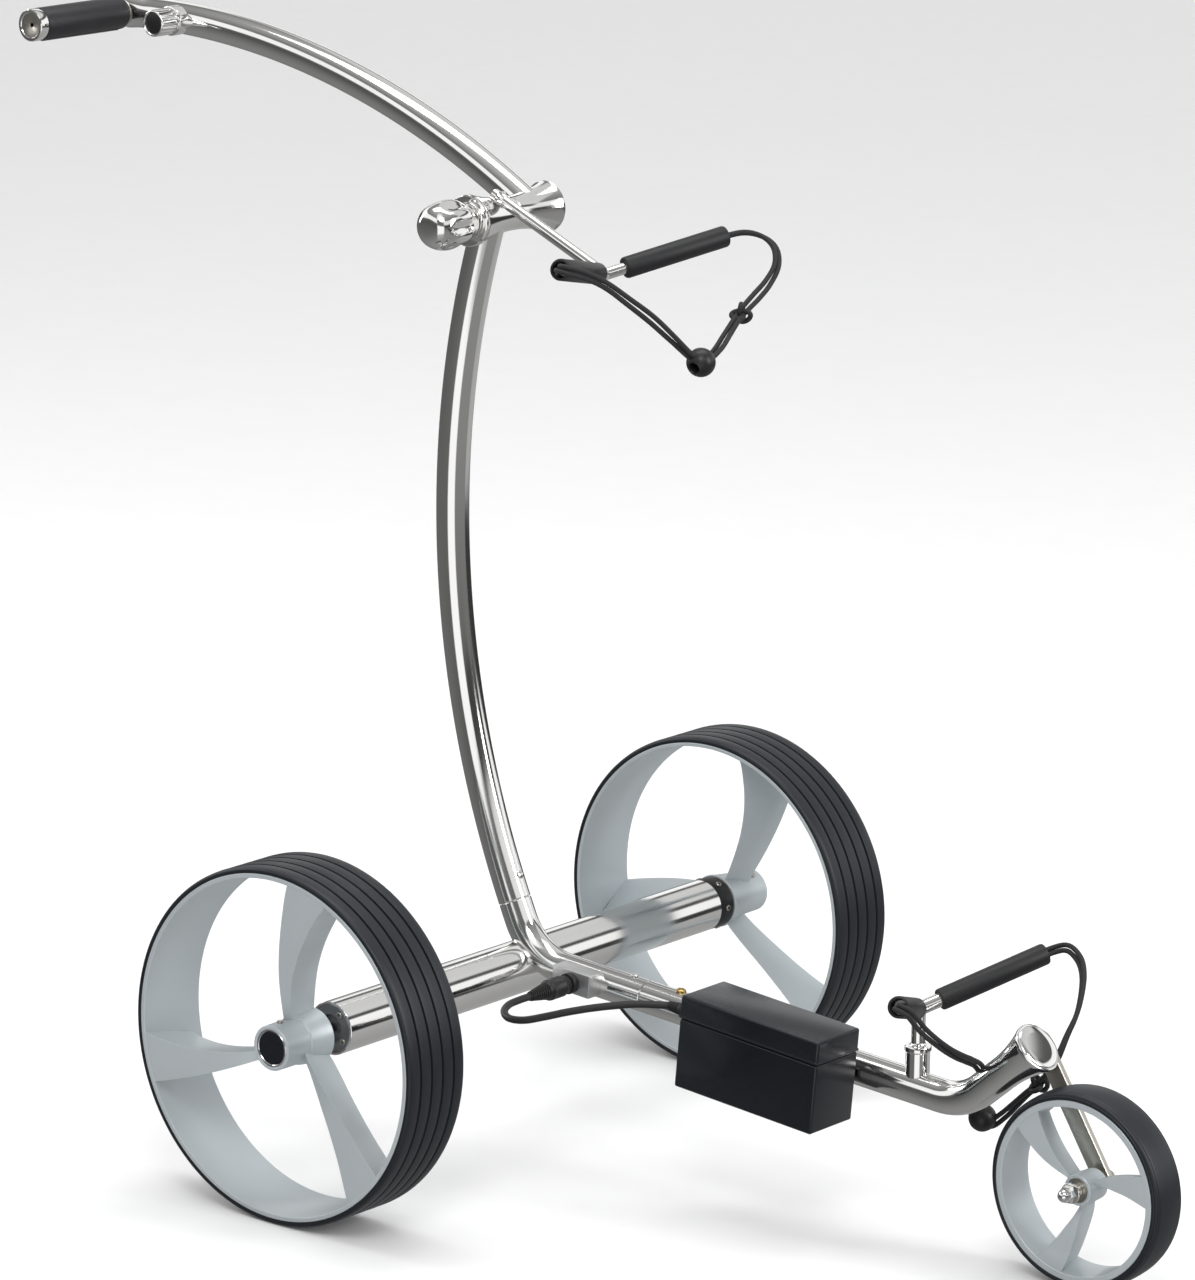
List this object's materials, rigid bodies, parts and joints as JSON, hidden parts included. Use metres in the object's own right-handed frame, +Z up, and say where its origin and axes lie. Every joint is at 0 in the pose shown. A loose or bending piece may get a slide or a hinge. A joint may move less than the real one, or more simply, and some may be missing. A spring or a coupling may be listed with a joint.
{
  "type": "electric golf trolley",
  "caption": "Electric golf trolley with a curved two-part steel mast, side grip, bag cradles with elastic loops, side battery, ribbed drive wheels behind and a small wheel in front.",
  "frame": {"origin": "centre of the footprint of the whole trolley, on the ground", "axes": "+X forward along the beam, +Y to the trolley's left along the rear axle, +Z up"},
  "size_m": [1.1902, 0.632, 0.9333],
  "materials": {
    "polished_steel": "mirror polished stainless steel",
    "brushed_steel": "brushed",
    "silver_paint": "satin silver paint",
    "tyre_rubber": "matte with a slight sheen",
    "sleeve_rubber": "matte",
    "gloss_black": "glossy",
    "matte_black": "satin",
    "elastic_cord": "braided",
    "grip_leather": "fine grain",
    "block_aluminium": "brushed",
    "screw_brass": "satin",
    "motor_iron": "dark",
    "board_green": "satin",
    "cell_wrap": "satin"
  },
  "bodies": {
    "chassis": {"axle_tube": "polished_steel", "frame_tube": "polished_steel", "mast_spigot": "brushed_steel", "socket_block": "block_aluminium", "power_socket": "matte_black", "controller": "board_green", "left_motor": "motor_iron", "right_motor": "motor_iron", "left_gearbox": "brushed_steel", "right_gearbox": "brushed_steel", "left_flange": "matte_black", "right_flange": "brushed_steel", "flange_screws": "brushed_steel", "power_plug": "matte_black", "power_lead": "matte_black", "lead_gland": "matte_black", "front_beam": "polished_steel", "beam_spigot": "brushed_steel", "head_cap": "polished_steel", "beam_screw": "screw_brass", "fork_leg": "brushed_steel", "front_axle": "brushed_steel", "axle_nut": "polished_steel", "battery_case": "gloss_black", "battery_lid": "gloss_black", "battery_cells": "cell_wrap", "battery_bracket": "matte_black", "cradle_post": "polished_steel", "lower_arms": "polished_steel", "lower_sleeves": "sleeve_rubber", "lower_bungee": "elastic_cord", "lower_ball": "matte_black"},
    "left_wheel": {"left_rim": "silver_paint", "left_tyre": "tyre_rubber", "left_shaft": "polished_steel"},
    "right_wheel": {"right_rim": "silver_paint", "right_tyre": "tyre_rubber", "right_shaft": "polished_steel"},
    "front_wheel": {"front_rim": "silver_paint", "front_tyre": "tyre_rubber", "front_bearings": "brushed_steel"},
    "mast": {"lower_mast": "polished_steel", "near_barrel": "polished_steel", "upper_rod": "polished_steel", "upper_arms": "polished_steel", "upper_sleeves": "sleeve_rubber", "upper_bungee": "elastic_cord", "upper_ball": "matte_black"},
    "mast_snap": {"mast_button": "polished_steel"},
    "beam_snap": {"beam_button": "polished_steel"},
    "clamp": {"clamp_knob": "polished_steel"},
    "handle": {"upper_mast": "polished_steel", "far_barrel": "polished_steel", "mast_cap": "gloss_black", "grip_core": "brushed_steel", "grip_sleeve": "grip_leather", "grip_end_cap": "polished_steel", "speed_bezel": "polished_steel", "speed_sensor": "matte_black"},
    "speed_control": {"speed_knob": "polished_steel"}
  },
  "joints": [
    {"name": "left_wheel_spin", "type": "hinge", "parent": "chassis", "child": "left_wheel", "pos_m": [-0.07239, 0.2825, 0.15], "axis": [0, 1, 0], "continuous": true},
    {"name": "right_wheel_spin", "type": "hinge", "parent": "chassis", "child": "right_wheel", "pos_m": [-0.07239, -0.2825, 0.15], "axis": [0, 1, 0], "continuous": true},
    {"name": "front_wheel_spin", "type": "hinge", "parent": "chassis", "child": "front_wheel", "pos_m": [0.51361, 0, 0.0815], "axis": [0, 1, 0], "continuous": true},
    {"name": "mast_release", "type": "hinge", "parent": "chassis", "child": "mast", "pos_m": [0.65811, 0, 0.539], "axis": [0, 1, 0], "range_deg": [0, 4.2]},
    {"name": "handle_fold", "type": "hinge", "parent": "mast", "child": "handle", "pos_m": [-0.11439, 0.026, 0.788], "axis": [0, -1, 0], "range_deg": [-20, 98]},
    {"name": "clamp_turn", "type": "hinge", "parent": "mast", "child": "clamp", "pos_m": [-0.11439, -0.053, 0.788], "axis": [0, -1, 0], "range_deg": [0, 360]},
    {"name": "speed_turn", "type": "hinge", "parent": "handle", "child": "speed_control", "pos_m": [-0.50339, 0.018, 0.91106], "axis": [0, -1, 0], "range_deg": [0, 270]},
    {"name": "mast_snap_press", "type": "slide", "parent": "mast", "child": "mast_snap", "axis": [-0.9212, 0, -0.3891], "range_m": [0, 0.003], "stiffness_N_per_m": 400, "springref_m": -0.003},
    {"name": "beam_snap_press", "type": "slide", "parent": "chassis", "child": "beam_snap", "axis": [-0.0732, 0, -0.9973], "range_m": [0, 0.003], "stiffness_N_per_m": 400, "springref_m": -0.003}
  ]
}
